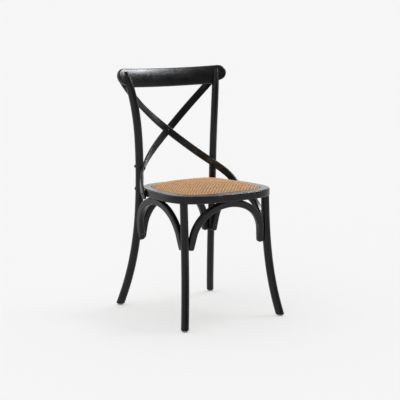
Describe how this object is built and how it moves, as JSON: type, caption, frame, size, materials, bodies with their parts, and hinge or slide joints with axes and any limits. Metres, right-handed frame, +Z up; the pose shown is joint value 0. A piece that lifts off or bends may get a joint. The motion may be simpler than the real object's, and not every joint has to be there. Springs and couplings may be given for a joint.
{
  "type": "cross-back dining chair",
  "caption": "Black bentwood dining chair with a curved top rail, crossed back braces, a crowned woven rattan seat in a bent ring, and bent arches between its flared legs.",
  "frame": {"origin": "on the floor under the middle of the chair's bounding box", "axes": "+Z up, the chair faces -Y, +X is to the right as seen from the front"},
  "size_m": [0.466, 0.4762, 0.8786],
  "materials": {
    "black_wood": "black satin paint over bent wood, lightly rubbed along the edges",
    "rattan": "natural rattan splints in a close diagonal twill, dry satin",
    "pad_foam": "thin felted pad, matte",
    "board_plywood": "raw plywood, matte",
    "glide_plastic": "pale moulded nylon, matte",
    "zinc_steel": "zinc-plated steel, satin",
    "blackened_steel": "black painted steel, semi-gloss with rubbed crowns"
  },
  "bodies": {
    "root": {"rear_post_right": "black_wood", "rear_post_left": "black_wood", "front_leg_right": "black_wood", "front_leg_left": "black_wood", "top_rail": "black_wood", "cross_brace_left": "black_wood", "cross_brace_right": "black_wood", "seat_ring": "black_wood", "arch_front": "black_wood", "arch_rear": "black_wood", "arch_right": "black_wood", "arch_left": "black_wood", "glide_rear_right": "glide_plastic", "glide_rear_left": "glide_plastic", "glide_front_right": "glide_plastic", "glide_front_left": "glide_plastic", "rattan_seat": "rattan", "seat_pad": "pad_foam", "seat_board": "board_plywood", "arch_limb_screws": "blackened_steel", "arch_ring_screws": "zinc_steel", "board_screws": "zinc_steel", "barrel_nuts": "zinc_steel", "post_bolts": "blackened_steel", "brace_bolts": "blackened_steel", "cap_nuts": "blackened_steel", "rail_screws": "blackened_steel", "brace_rail_screws": "blackened_steel", "brace_foot_screws": "blackened_steel", "cross_rivet": "blackened_steel"}
  },
  "joints": []
}
